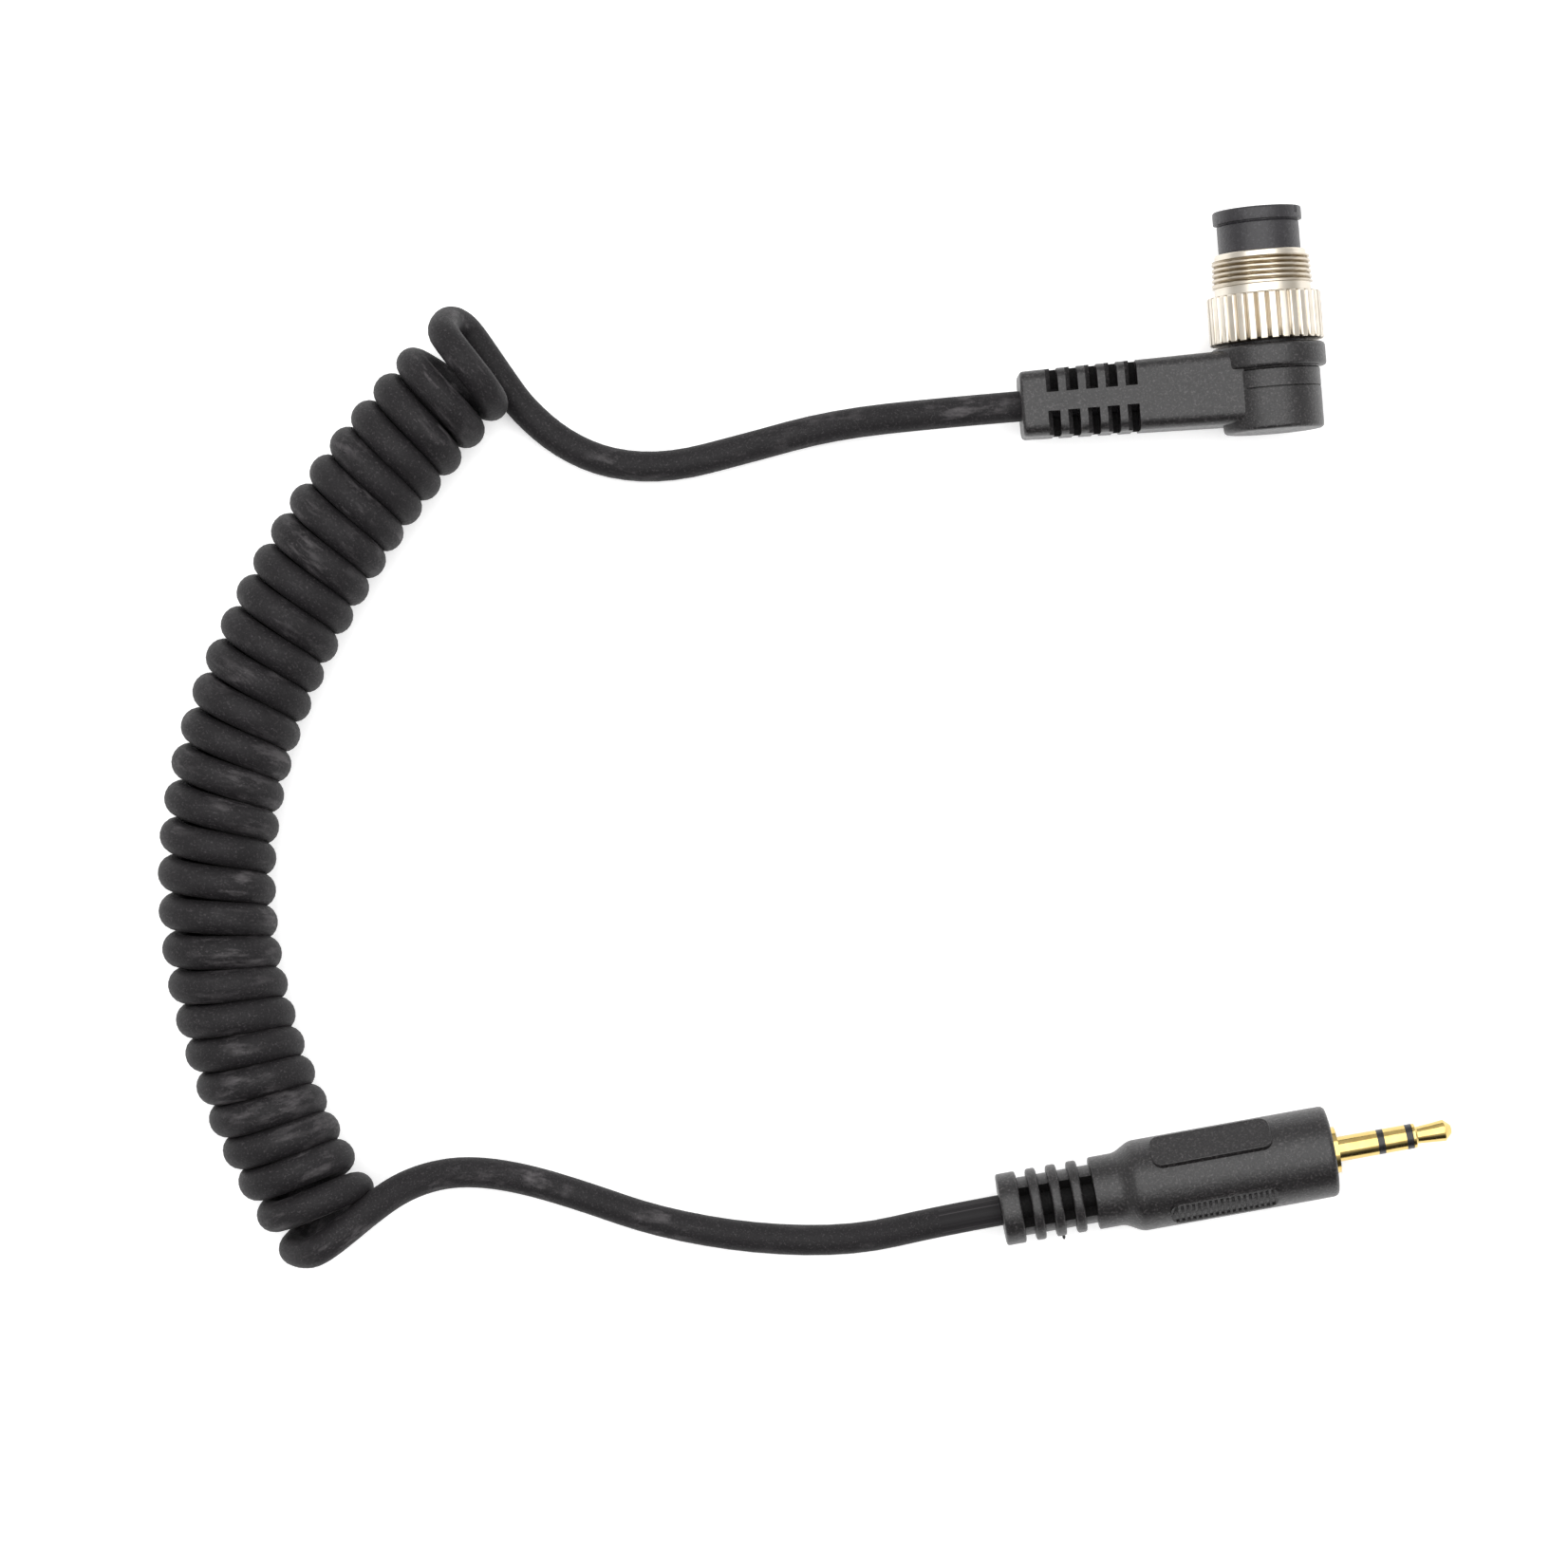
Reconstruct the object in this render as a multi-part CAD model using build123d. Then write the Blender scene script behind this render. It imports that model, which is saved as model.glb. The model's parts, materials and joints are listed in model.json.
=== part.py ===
from build123d import *
import math
import os

# Coiled camera remote-release cable: a right-angle screw-lock plug, a curly cord and a 2.5 mm jack.
# Millimetres, +Z up, table at Z = 0. +Y is the camera plug's axis and its cord leaves towards -X.

# camera plug, placed so that its own box stands on the table, centred on the origin
PLUG_X, ARM_Y, PLUG_Z = 9.65, -6.5, 5.7    # plug axis in X and Z, arm axis in Y
HEAD_BACK, FLANGE_BACK, FLANGE_FRONT = -4.55, 1.63, 3.97
HEAD_R, FLANGE_R = 5.0, 5.7
ARM_LENGTH = 25.0
ARM_WIDTH_CORD, ARM_WIDTH_HEAD = 6.5, 7.5
ARM_HEIGHT_CORD, ARM_HEIGHT_HEAD = 7.4, 8.0
ARM_CORNER_R = 1.3
SLOT_COUNT, SLOT_PITCH, SLOT_WIDTH = 5, 1.96, 1.2
SLOT_START = -22.45
SPINE_WIDTH, SLOT_FLOOR = 1.86, 2.0

# locking ring
RING_BACK, GRIP_FRONT, NECK_FRONT, THREAD_FRONT, RING_FRONT = 4.3, 9.05, 9.95, 12.6, 13.25
GRIP_R, NECK_R, THREAD_R, LEAD_R = 5.65, 4.77, 5.0, 4.55
THREAD_PITCH, THREAD_DEPTH = 0.5, 0.28
FLUTE_COUNT, FLUTE_R, FLUTE_CENTRE_R = 32, 0.3, 5.68
RING_STEP = 7.3
RING_REAR_BORE_R, RING_FRONT_BORE_R = 3.8, 4.15

# contact insert and its ten socket contacts
INSERT_R, LIP_R, SPIGOT_R = 4.08, 4.42, 3.72
SPIGOT_BACK, INSERT_STEP, LIP_BACK, INSERT_FRONT = 1.0, 7.55, 16.25, 17.55
CONTACT_R, CONTACT_BORE_R, CONTACT_RING_R, CONTACT_INNER = 0.45, 0.28, 2.7, 0.95
CONTACT_FRONT, TAIL_BACK, TAIL_R = 17.2, -0.9, 0.3

# jack: its front face, yaw about Z, and lengths along its axis from the front face
JACK_X, JACK_Y, JACK_Z, JACK_YAW = 9.55, -82.85, 4.62, 5.5
JACK_R, JACK_NECK_R, JACK_BACK = 4.55, 3.63, -33.45
BARREL_BACK, NECK_END, RELIEF_START = -19.4, -21.9, -24.1
RIDGE_R, RIB_R, CORE_R = 3.6, 2.92, 2.25
RIDGE_STARTS = (-33.45, -30.45, -28.4, -26.33)
RIDGE_ENDS = (-31.45, -29.42, -27.37, -25.3)
PAD_FLAT = 4.6
PLAIN_PAD = (-17.95, -5.9, 1.9)            # back, front, half width
RIBBED_PAD = (-17.0, -6.2, 1.4)
RIB_COUNT, RIB_GROOVE, RIB_GROOVE_DEPTH = 18, 0.3, 0.28
SHAFT_R, SLEEVE_REAR_R, COLLAR_R = 1.25, 1.09, 2.33
SLEEVE_REAR, COLLAR_BACK, COLLAR_FRONT = -2.6, 0.1, 0.58
SLEEVE_FRONT, RING_START, RING_END, TIP_START, TIP_END = 4.62, 5.3, 7.5, 8.16, 12.1
ROD_R, RING_TUBE_R, SLEEVE_BORE_R = 0.42, 0.82, 1.02
INNER_INSULATOR_R = 0.6
GAP = 0.02                                  # radial gap between pieces pressed or moulded together

# cord
CORD_R = 1.525
JACKET_END_CAMERA, JACKET_END_JACK = -11.0, -15.5
CORE_WIRE_R = 0.32
COIL_OUTER_R = 5.9
FLOOR = CORD_R + 0.02                       # height of a cord that lies on the table

CAMERA_ROUTE = [
    (PLUG_X - ARM_LENGTH, ARM_Y, PLUG_Z),
    (-23.0, ARM_Y, PLUG_Z),
    (-34.0, -6.5, FLOOR),
    (-43.0, -8.2, FLOOR),
    (-50.5, -9.5, FLOOR),
    (-56.5, -8.7, FLOOR),
    (-61.2, -6.2, FLOOR),
    (-64.8, -2.5, FLOOR),
    (-67.6, 2.4, FLOOR),
]
COIL_ROUTE = [
    (-68.6, 3.0, COIL_OUTER_R),
    (-76.4, -4.4, COIL_OUTER_R),
    (-83.4, -12.4, COIL_OUTER_R),
    (-89.4, -21.2, COIL_OUTER_R),
    (-94.4, -30.9, COIL_OUTER_R),
    (-97.6, -41.2, COIL_OUTER_R),
    (-99.0, -51.8, COIL_OUTER_R),
    (-98.2, -62.6, COIL_OUTER_R),
    (-95.2, -73.0, COIL_OUTER_R),
    (-90.6, -81.6, COIL_OUTER_R),
]
JACK_ROUTE = [
    (-89.0, -82.2, 8.4),
    (-85.2, -79.6, 7.0),
    (-80.6, -77.9, 5.2),
    (-76.0, -77.8, 3.5),
    (-71.4, -78.9, 2.2),
    (-66.0, -81.0, 1.6),
    (-58.0, -84.7, FLOOR),
    (-48.5, -87.2, FLOOR),
    (-38.5, -88.2, FLOOR),
]
JACK_LEAD_IN = 6.5                          # straight run of cord behind the jack


def along_y(solid):
    """Put a solid made about the origin, with the plug axis along Y, into the plug's place."""
    return solid.moved(Location((PLUG_X, ARM_Y, PLUG_Z)))


def on_jack(solid):
    """Put a solid made along X, with the jack's front face at the origin, into the jack's place."""
    return solid.moved(Location((JACK_X, JACK_Y, JACK_Z), (0, 0, JACK_YAW)))


def jack_point(along):
    """A point on the jack's axis, at a distance from its front face."""
    yaw = math.radians(JACK_YAW)
    return (JACK_X + along * math.cos(yaw), JACK_Y + along * math.sin(yaw), JACK_Z)


def turned_y(outline):
    """A solid of revolution about Y from (radius, along) points."""
    return revolve(make_face(Polyline(*outline, close=True)), Axis.Y)


def turned_x(outline):
    """A solid of revolution about X from (along, radius) points."""
    return revolve(make_face(Polyline(*outline, close=True)), Axis.X)


def rod_y(radius, start, end, x=0.0, z=0.0):
    return Pos(x, (start + end) / 2, z) * (Rot(90, 0, 0) * Cylinder(radius, end - start))


def rod_x(radius, start, end, y=0.0, z=0.0):
    return Pos((start + end) / 2, y, z) * (Rot(0, 90, 0) * Cylinder(radius, end - start))


def tube_x(outer, bore, start, end):
    return rod_x(outer, start, end) - rod_x(bore, start, end)


def block(start_x, end_x, start_y, end_y, start_z, end_z):
    size = (end_x - start_x, end_y - start_y, end_z - start_z)
    centre = ((start_x + end_x) / 2, (start_y + end_y) / 2, (start_z + end_z) / 2)
    return Pos(*centre) * Box(*size)


# ---------------------------------------------------------------- camera plug

def arm():
    """The flat arm: one taper from the cord's end to the head, with rounded long edges."""
    cord_end = Plane((-ARM_LENGTH, 0, 0), x_dir=(0, 1, 0), z_dir=(1, 0, 0))
    head_end = Plane((0, 0, 0), x_dir=(0, 1, 0), z_dir=(1, 0, 0))
    small = cord_end * RectangleRounded(ARM_WIDTH_CORD, ARM_HEIGHT_CORD, ARM_CORNER_R)
    large = head_end * RectangleRounded(ARM_WIDTH_HEAD, ARM_HEIGHT_HEAD, ARM_CORNER_R)
    solid = loft([small, large])
    end_edges = solid.faces().sort_by(Axis.X)[0].edges()
    return fillet(end_edges, 0.35)


def relief_slots():
    """Cross slots of the bend relief, in from both sides, above and below, on each side of a spine."""
    slots = []
    for index in range(SLOT_COUNT):
        start = SLOT_START + index * SLOT_PITCH
        for side in (-1, 1):
            near, far = sorted((side * SPINE_WIDTH / 2, side * ARM_WIDTH_HEAD))
            for level in (-1, 1):
                low, high = sorted((level * SLOT_FLOOR, level * ARM_HEIGHT_HEAD))
                slots.append(block(start, start + SLOT_WIDTH, near, far, low, high))
    return slots


def elbow_head():
    """The round head behind the ring, with its flange and a fine parting groove."""
    bevel, round_off = 0.35, 0.3
    return turned_y([
        (0, HEAD_BACK), (HEAD_R - bevel, HEAD_BACK), (HEAD_R, HEAD_BACK + bevel),
        (HEAD_R, -0.43), (HEAD_R - 0.08, -0.37), (HEAD_R, -0.31),
        (HEAD_R, FLANGE_BACK), (FLANGE_R - round_off, FLANGE_BACK),
        (FLANGE_R, FLANGE_BACK + round_off), (FLANGE_R, FLANGE_FRONT - 0.45),
        (FLANGE_R - 0.13, FLANGE_FRONT - 0.13), (FLANGE_R - 0.45, FLANGE_FRONT), (0, FLANGE_FRONT),
    ])


def mould_pocket(grow=0.0):
    """The space inside the elbow that the inner moulding fills."""
    return rod_y(3.6 + grow, -3.3 - grow, SPIGOT_BACK) + rod_x(2.4 + grow, JACKET_END_CAMERA, 0)


def elbow_overmould():
    """Outer moulding: arm, bend relief, head and flange in one piece, hollow inside."""
    solid = arm() + elbow_head()
    solid -= relief_slots()
    solid -= mould_pocket()
    solid -= rod_y(SPIGOT_R + GAP, SPIGOT_BACK - 0.1, FLANGE_FRONT + 1)
    solid -= rod_x(CORD_R + GAP, -ARM_LENGTH - 1, JACKET_END_CAMERA)
    solid -= rod_x(2.0 + GAP, JACKET_END_CAMERA - 2.0, JACKET_END_CAMERA)
    return solid


def wire_contacts():
    """The three contacts that the release uses, by (x, z)."""
    off = CONTACT_RING_R * math.cos(math.radians(22.5))
    up = CONTACT_RING_R * math.sin(math.radians(22.5))
    return [(-off, up), (-CONTACT_INNER, 0.0), (-off, -up)]


def contact_places():
    """Eight contacts on a circle and two inside it, by (x, z)."""
    places = []
    for index in range(8):
        angle = math.radians(22.5 + 45 * index)
        places.append((CONTACT_RING_R * math.cos(angle), CONTACT_RING_R * math.sin(angle)))
    return places + [(-CONTACT_INNER, 0.0), (CONTACT_INNER, 0.0)]


def elbow_inner_mould():
    """Inner moulding that holds the wires and the contacts' tails."""
    solid = mould_pocket(-GAP) - rod_y(SPIGOT_R + GAP, SPIGOT_BACK - GAP, FLANGE_FRONT)
    solid -= block(JACKET_END_CAMERA - 1, 1.6, -0.55, 0.55, -1.6, 1.6)
    solid -= rod_y(3.2, -1.5, SPIGOT_BACK)
    return solid


def contact_insert():
    """Plastic contact carrier: lip, body through the ring, thrust step and spigot."""
    solid = turned_y([
        (0, SPIGOT_BACK), (SPIGOT_R, SPIGOT_BACK), (SPIGOT_R, INSERT_STEP),
        (INSERT_R, INSERT_STEP), (INSERT_R, LIP_BACK), (LIP_R, LIP_BACK),
        (LIP_R, INSERT_FRONT - 0.15), (LIP_R - 0.15, INSERT_FRONT), (0, INSERT_FRONT),
    ])
    for x, z in contact_places():
        solid -= rod_y(CONTACT_R + GAP, SPIGOT_BACK - 1, INSERT_FRONT + 1, x, z)
    key = math.radians(36)
    notch = Pos(LIP_R * math.cos(key), INSERT_FRONT - 0.35, LIP_R * math.sin(key)) * Box(0.3, 0.75, 0.3)
    return solid - notch


def socket_contacts():
    """Ten socket contacts: a bored front and a thin solder tail."""
    solids = []
    for x, z in contact_places():
        barrel = rod_y(CONTACT_R, SPIGOT_BACK, CONTACT_FRONT, x, z)
        barrel -= rod_y(CONTACT_BORE_R, CONTACT_FRONT - 5, CONTACT_FRONT + 1, x, z)
        solids.append(barrel + rod_y(TAIL_R, TAIL_BACK, SPIGOT_BACK, x, z))
    return Compound(children=solids)


def lock_ring():
    """Screw-lock ring: fluted grip, neck, fine thread and lead, with a step that pushes the insert."""
    outline = [
        (RING_REAR_BORE_R, RING_BACK), (GRIP_R - 0.3, RING_BACK), (GRIP_R, RING_BACK + 0.3),
        (GRIP_R, GRIP_FRONT - 0.25), (GRIP_R - 0.3, GRIP_FRONT), (NECK_R, GRIP_FRONT),
        (NECK_R, NECK_FRONT),
    ]
    turns = int((THREAD_FRONT - NECK_FRONT) / THREAD_PITCH)
    start = NECK_FRONT
    for index in range(turns):
        crest = THREAD_R - 0.03 * index
        foot = start + index * THREAD_PITCH
        outline += [(crest, foot + 0.12), (crest, foot + 0.27)]
        outline += [(crest - THREAD_DEPTH, foot + 0.44), (crest - THREAD_DEPTH, foot + 0.48)]
    outline += [
        (LEAD_R + 0.15, THREAD_FRONT), (LEAD_R, THREAD_FRONT + 0.1), (LEAD_R, RING_FRONT - 0.12),
        (LEAD_R - 0.12, RING_FRONT), (RING_FRONT_BORE_R, RING_FRONT),
        (RING_FRONT_BORE_R, RING_STEP), (RING_REAR_BORE_R, RING_STEP),
    ]
    solid = turned_y(outline)
    flutes = []
    for index in range(FLUTE_COUNT):
        angle = 2 * math.pi * index / FLUTE_COUNT
        x, z = FLUTE_CENTRE_R * math.cos(angle), FLUTE_CENTRE_R * math.sin(angle)
        flutes.append(rod_y(FLUTE_R, RING_BACK - 1, GRIP_FRONT + 0.5, x, z))
    return solid - flutes


def elbow_cord_ferrule():
    """Crimped ferrule on the end of the jacket, inside the elbow."""
    return tube_x(2.0, CORD_R + GAP, JACKET_END_CAMERA - 2.0 + GAP, JACKET_END_CAMERA)


def elbow_core_wires():
    """The cord's three cores, from the jacket's end to beside their contacts' tails."""
    wires = []
    for x, z in wire_contacts():
        wires.append(rod_x(CORE_WIRE_R, JACKET_END_CAMERA, x - TAIL_R, -0.2, z))
    return Compound(children=wires)


def cord_end_in_elbow():
    """The jacket inside the bend relief."""
    return rod_x(CORD_R, -ARM_LENGTH, JACKET_END_CAMERA)


# ---------------------------------------------------------------- jack

def jack_pad(back, front, half_width, quarter):
    """A raised flat pad with round corners, turned to one of the four diagonal faces."""
    length, middle = front - back, (front + back) / 2
    face = Pos(middle, 0, 0) * RectangleRounded(length, 2 * half_width, 1.0)
    return Rot(45 + 90 * quarter, 0, 0) * extrude(face, PAD_FLAT)


def rib_grooves(quarter):
    """Cross grooves of a ribbed pad, inside its rim."""
    back, front, half_width = RIBBED_PAD
    pitch = (front - back) / (RIB_COUNT + 1)
    grooves = []
    for index in range(RIB_COUNT):
        middle = back + pitch * (index + 1)
        cut = block(middle - RIB_GROOVE / 2, middle + RIB_GROOVE / 2, -half_width + 0.2, half_width - 0.2,
                    PAD_FLAT - RIB_GROOVE_DEPTH, PAD_FLAT + 1)
        grooves.append(Rot(45 + 90 * quarter, 0, 0) * cut)
    return grooves


def jack_outside():
    """Outline of the jack's moulding: ridged bend relief, neck, shoulder and barrel."""
    outline = [(JACK_BACK, 0)]
    for start, end in zip(RIDGE_STARTS, RIDGE_ENDS):
        outline += [(start, RIB_R), (start, RIDGE_R - 0.15), (start + 0.15, RIDGE_R)]
        outline += [(end - 0.15, RIDGE_R), (end, RIDGE_R - 0.15), (end, RIB_R)]
    outline += [(RELIEF_START, RIB_R), (RELIEF_START, JACK_NECK_R - 0.1), (RELIEF_START + 0.1, JACK_NECK_R)]
    steps = 6
    for index in range(steps + 1):
        part = index / steps
        rise = (1 - math.cos(math.pi * part)) / 2
        along = NECK_END + (BARREL_BACK - NECK_END) * part
        outline.append((along, JACK_NECK_R + (JACK_R - JACK_NECK_R) * rise))
    outline += [(-0.55, JACK_R), (-0.16, JACK_R - 0.16), (0, JACK_R - 0.55), (0, 0)]
    return turned_x(outline)


def relief_windows():
    """Deeper windows in the relief's grooves, above and below, between two side ribs."""
    windows = []
    ends = RIDGE_STARTS[1:] + (RELIEF_START,)
    for start, end in zip(RIDGE_ENDS, ends):
        hollow = tube_x(RIB_R + 0.5, CORE_R, start, end)
        for level in (-1, 1):
            low, high = sorted((level * 0.5, level * 4.0))
            windows.append(hollow & block(start, end, -1.95, 1.95, low, high))
    return windows


def jack_overmould():
    """Outer moulding of the jack, hollow inside."""
    solid = jack_outside()
    for quarter in range(4):
        pad = RIBBED_PAD if quarter % 2 == 0 else PLAIN_PAD
        solid += jack_pad(*pad, quarter)
    for quarter in (0, 2):
        solid -= rib_grooves(quarter)
    solid -= relief_windows()
    solid -= rod_x(3.0, -13.0, -0.6)
    solid -= rod_x(2.2, -17.5, -13.0)
    solid -= rod_x(CORD_R + GAP, JACK_BACK - 1, -17.5)
    solid -= rod_x(SLEEVE_REAR_R + GAP, -0.6, 1)
    return solid


def jack_inner_mould():
    """Inner moulding round the terminals."""
    solid = rod_x(3.0 - GAP, -12.9, -0.65)
    return solid - rod_x(2.35, -13, -1.9) - rod_x(SLEEVE_REAR_R + GAP, -2, 0)


def jack_tip():
    """Tip contact and the rod that carries it to the back."""
    head = turned_x([
        (TIP_START, 0), (TIP_START, SHAFT_R), (TIP_START + 0.34, SHAFT_R), (TIP_START + 0.55, 1.0),
        (TIP_START + 0.95, 1.0), (TIP_END - 0.85, 1.09), (TIP_END - 0.65, 1.09),
        (TIP_END - 0.2, 0.85), (TIP_END, 0.55), (TIP_END, 0),
    ])
    return head + rod_x(ROD_R, -6.0, TIP_START)


def jack_ring():
    """Ring contact and its tube."""
    return tube_x(SHAFT_R, INNER_INSULATOR_R + GAP, RING_START, RING_END) \
        + tube_x(RING_TUBE_R, INNER_INSULATOR_R + GAP, -4.2, RING_START)


def jack_sleeve():
    """Sleeve contact with its shoulder collar and rear flange."""
    solid = tube_x(SHAFT_R, SLEEVE_BORE_R, COLLAR_BACK, SLEEVE_FRONT)
    solid += tube_x(COLLAR_R, SLEEVE_BORE_R, COLLAR_BACK, COLLAR_FRONT)
    return solid + tube_x(SLEEVE_REAR_R, SLEEVE_BORE_R, SLEEVE_REAR, COLLAR_BACK)


def jack_front_insulator():
    """Insulator between tip and ring, with its tube."""
    return tube_x(SHAFT_R, ROD_R + GAP, RING_END, TIP_START) \
        + tube_x(INNER_INSULATOR_R, ROD_R + GAP, -5.2, RING_END)


def jack_rear_insulator():
    """Insulator between ring and sleeve, with its tube."""
    return tube_x(SHAFT_R, RING_TUBE_R + GAP, SLEEVE_FRONT, RING_START) \
        + tube_x(SLEEVE_BORE_R - GAP, RING_TUBE_R + GAP, -3.4, SLEEVE_FRONT)


def tip_terminal():
    """Solder tag on the end of the tip's rod."""
    return tube_x(0.9, ROD_R + GAP, -6.0, -5.4) + block(-9.0, -5.9, -0.5, 0.5, 0.5, 0.75)


def ring_terminal():
    """Solder tag on the ring's tube."""
    return tube_x(1.5, RING_TUBE_R + GAP, -4.2, -3.6) + block(-8.0, -4.1, -0.5, 0.5, 1.2, 1.45)


def sleeve_terminal():
    """Ground strap from the sleeve, with the clamp that grips the jacket."""
    strap = block(-15.6, -2.1, -0.6, 0.6, -2.05, -1.8)
    clamp = tube_x(2.1, CORD_R + GAP, -17.4, -15.5)
    return tube_x(2.05, SLEEVE_REAR_R + GAP, -2.5, -2.0) + strap + clamp


def jack_core_wires():
    """The cord's three cores, from the jacket's end to the terminals."""
    ends = ((-9.05, 0.62), (-8.05, 1.62), (-13.0, -1.3))
    return Compound(children=[rod_x(CORE_WIRE_R, JACKET_END_JACK, end, 0, z) for end, z in ends])


def cord_end_in_jack():
    """The jacket inside the jack's bend relief."""
    return rod_x(CORD_R, JACK_BACK, JACKET_END_JACK)


# ---------------------------------------------------------------- cord

def run_lengths(points):
    return [math.dist(a, b) for a, b in zip(points, points[1:])]


def corner_radii(points):
    """The largest arc that each corner's two runs leave room for."""
    radii = []
    runs = run_lengths(points)
    for index in range(1, len(points) - 1):
        before = Vector(*points[index]) - Vector(*points[index - 1])
        after = Vector(*points[index + 1]) - Vector(*points[index])
        half_turn = math.radians(before.get_angle(after)) / 2
        radii.append(0.45 * min(runs[index - 1], runs[index]) / math.tan(half_turn))
    return radii


def cord_tube(points, radius, name):
    """A tube of straight runs joined by tangent arcs."""
    radii = corner_radii(points)
    path = FilletPolyline(*points, radius=radii)
    first = Vector(*points[1]) - Vector(*points[0])
    tube = sweep(Plane(points[0], z_dir=first) * Circle(radius), path=path)
    section = math.pi * radius ** 2
    print(name, "radii", [round(value, 1) for value in radii],
          "runs", [round(value, 1) for value in run_lengths(points)],
          "length", round(path.length, 2), "volume ratio", round(tube.volume / section / path.length, 4))
    return tube


def build():
    jack_route = JACK_ROUTE + [jack_point(JACK_BACK - JACK_LEAD_IN), jack_point(JACK_BACK)]
    return {
        "contact_insert": along_y(contact_insert()),
        "socket_contacts": along_y(socket_contacts()),
        "lock_ring": along_y(lock_ring()),
        "elbow_overmould": along_y(elbow_overmould()),
        "elbow_inner_mould": along_y(elbow_inner_mould()),
        "elbow_cord_ferrule": along_y(elbow_cord_ferrule()),
        "elbow_core_wires": along_y(elbow_core_wires()),
        "cord_end_in_elbow": along_y(cord_end_in_elbow()),
        "cord_camera_end": cord_tube(CAMERA_ROUTE, CORD_R, "cord_camera_end"),
        "cord_coil": cord_tube(COIL_ROUTE, COIL_OUTER_R, "cord_coil"),
        "cord_jack_end": cord_tube(jack_route, CORD_R, "cord_jack_end"),
        "jack_tip": on_jack(jack_tip()),
        "jack_ring": on_jack(jack_ring()),
        "jack_sleeve": on_jack(jack_sleeve()),
        "jack_front_insulator": on_jack(jack_front_insulator()),
        "jack_rear_insulator": on_jack(jack_rear_insulator()),
        "tip_terminal": on_jack(tip_terminal()),
        "ring_terminal": on_jack(ring_terminal()),
        "sleeve_terminal": on_jack(sleeve_terminal()),
        "jack_inner_mould": on_jack(jack_inner_mould()),
        "jack_overmould": on_jack(jack_overmould()),
        "jack_core_wires": on_jack(jack_core_wires()),
        "cord_end_in_jack": on_jack(cord_end_in_jack()),
    }


os.makedirs("parts", exist_ok=True)
for node, solid in build().items():
    export_step(solid, f"parts/{node}.step")
    print(node, round(solid.volume, 3))
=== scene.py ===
import json
import math

import bmesh
import bpy
from mathutils import Matrix, Vector


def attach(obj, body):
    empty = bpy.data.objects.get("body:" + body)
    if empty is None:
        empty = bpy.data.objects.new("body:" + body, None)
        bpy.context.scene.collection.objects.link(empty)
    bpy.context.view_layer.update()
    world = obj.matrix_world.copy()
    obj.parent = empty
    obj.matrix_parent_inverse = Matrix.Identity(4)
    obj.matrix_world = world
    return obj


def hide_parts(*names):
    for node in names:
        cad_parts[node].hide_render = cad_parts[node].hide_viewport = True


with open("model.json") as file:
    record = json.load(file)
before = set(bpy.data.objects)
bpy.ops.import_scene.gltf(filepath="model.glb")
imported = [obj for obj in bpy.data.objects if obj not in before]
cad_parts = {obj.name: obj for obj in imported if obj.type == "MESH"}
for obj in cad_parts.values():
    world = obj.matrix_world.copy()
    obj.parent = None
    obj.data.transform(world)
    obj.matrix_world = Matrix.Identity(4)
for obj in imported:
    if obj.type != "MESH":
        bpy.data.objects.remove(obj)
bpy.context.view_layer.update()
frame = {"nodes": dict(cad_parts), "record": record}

MM = 0.001
BODY = "cable"
RING_BODY = "lock_ring"

# the two plugs' own places, as in the part's source, in metres
PLUG_CENTRE = Vector((0.00965, -0.0065, 0.0057))
JACK_FACE = Vector((0.00955, -0.08285, 0.00462))
JACK_YAW = math.radians(5.5)
JACK_BACK = -0.03345


# ------------------------------------------------------------------ camera, floor and light

VIEW_CENTRE = Vector((-0.0418, -0.04199, 0.0))
VIEW_HEIGHT = 0.5246
VIEW_TURN = math.radians(-4.7)
LENS, SENSOR = 119.85, 36.0
FLOOR_HALF, FLOOR_Z = 1.6, -0.00002
ROOM_GLOW, FRONT_GLOW, BACKDROP_GLOW = 0.7, 0.04, 0.95
FRONT_FROM, FRONT_TO = -0.85, -0.4                           # the room darkens between these parts of -Y
BOX_PLACE, BOX_SIZE, BOX_POWER = (-0.04, 0.10, 0.82), (1.3, 1.15), 10.5


def make_camera():
    """Straight down on the table, from half a metre, with a short telephoto lens."""
    data = bpy.data.cameras.new("camera")
    data.lens = LENS
    data.sensor_width = SENSOR
    data.clip_start = 0.01
    data.clip_end = 20.0
    camera = bpy.data.objects.new("camera", data)
    camera.location = VIEW_CENTRE + Vector((0, 0, VIEW_HEIGHT))
    camera.rotation_euler = (0, 0, VIEW_TURN)
    bpy.context.scene.collection.objects.link(camera)
    bpy.context.scene.camera = camera


def add_piece(name, mesh, material, body=BODY):
    """Links a finished mesh as a piece that rides on a body."""
    piece = bpy.data.objects.new(name, mesh)
    bpy.context.scene.collection.objects.link(piece)
    mesh.materials.clear()
    mesh.materials.append(material)
    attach(piece, body)
    return piece


def linear(hex_colour):
    """An sRGB hex colour as linear RGBA."""
    channels = [int(hex_colour[i:i + 2], 16) / 255 for i in (1, 3, 5)]
    return tuple(c / 12.92 if c <= 0.04045 else ((c + 0.055) / 1.055) ** 2.4 for c in channels) + (1.0,)


def add_node(tree, kind, inputs=None, **settings):
    """A node with its settings; inputs give a socket a value or another node's output."""
    node = tree.nodes.new("ShaderNode" + kind)
    for name, value in settings.items():
        setattr(node, name, value)
    for socket, value in (inputs or {}).items():
        if isinstance(value, bpy.types.NodeSocket):
            tree.links.new(value, node.inputs[socket])
        else:
            node.inputs[socket].default_value = value
    return node


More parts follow.
